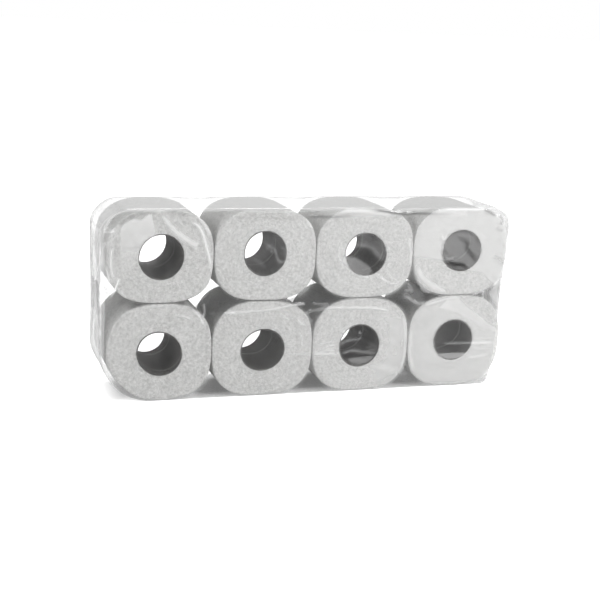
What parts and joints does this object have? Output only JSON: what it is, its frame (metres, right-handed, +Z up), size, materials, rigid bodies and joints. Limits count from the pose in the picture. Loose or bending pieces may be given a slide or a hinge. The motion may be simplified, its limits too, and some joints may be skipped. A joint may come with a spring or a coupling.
{
  "type": "toilet paper roll pack",
  "caption": "Long low block of toilet paper rolls on cardboard cores, packed on their sides under a clear film wrap with folded ends.",
  "frame": {"origin": "centre of the underside of the film, on the surface that the pack stands on", "axes": "+Z up, +X along the row of rolls, -Y out of the front, where the rolls show their ends"},
  "size_m": [0.4394, 0.0912, 0.1973],
  "materials": {
    "tissue": "matte creped paper",
    "core_board": "matte grey board",
    "clear_film": "clear glossy film"
  },
  "bodies": {
    "root": {"bottom_roll_1": "tissue", "bottom_core_1": "core_board", "bottom_roll_2": "tissue", "bottom_core_2": "core_board", "bottom_roll_3": "tissue", "bottom_core_3": "core_board", "bottom_roll_4": "tissue", "bottom_core_4": "core_board", "top_roll_1": "tissue", "top_core_1": "core_board", "top_roll_2": "tissue", "top_core_2": "core_board", "top_roll_3": "tissue", "top_core_3": "core_board", "top_roll_4": "tissue", "top_core_4": "core_board", "film_wrap": "clear_film"}
  },
  "joints": []
}
